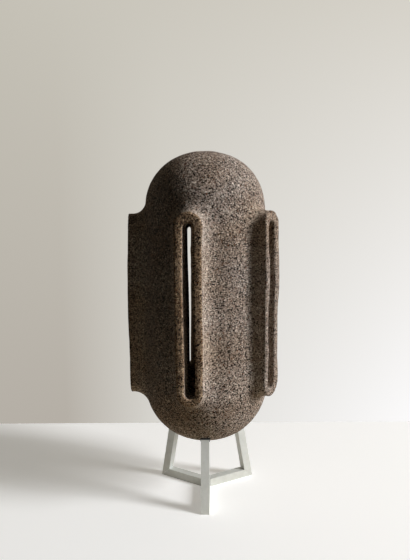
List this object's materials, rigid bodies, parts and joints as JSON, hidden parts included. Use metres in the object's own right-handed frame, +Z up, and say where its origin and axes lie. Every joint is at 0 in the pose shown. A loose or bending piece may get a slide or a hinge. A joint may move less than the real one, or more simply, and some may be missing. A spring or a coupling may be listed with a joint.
{
  "type": "stoneware lantern vessel on a steel tripod stand",
  "caption": "Closed capsule-shaped stoneware vessel with tall slotted fins open to its hollow inside, resting in a low three-legged cradle of square steel bar.",
  "frame": {"origin": "on the floor, under the centre of the stand where its three foot bars meet", "axes": "+Z up through the vessel's axis, -Y towards the front fin"},
  "size_m": [0.2197, 0.2124, 0.5046],
  "materials": {
    "stoneware": "unglazed, grogged and speckled, matt like fine sandpaper",
    "steel": "brushed, satin",
    "rubber": "matt black"
  },
  "bodies": {
    "stand": {"foot_bar_front": "steel", "foot_bar_right": "steel", "foot_bar_left": "steel", "upright_front": "steel", "upright_right": "steel", "upright_left": "steel", "rest_pad_front": "rubber", "rest_pad_right": "rubber", "rest_pad_left": "rubber"},
    "vessel": {"base_bowl": "stoneware", "barrel_wall": "stoneware", "top_dome": "stoneware", "fin_front": "stoneware", "fin_right": "stoneware", "fin_back_right": "stoneware", "fin_back_left": "stoneware", "fin_left": "stoneware"}
  },
  "joints": [
    {"name": "vessel_lift", "type": "slide", "parent": "stand", "child": "vessel", "axis": [0, 0, 1], "range_m": [0, 0.06]}
  ]
}
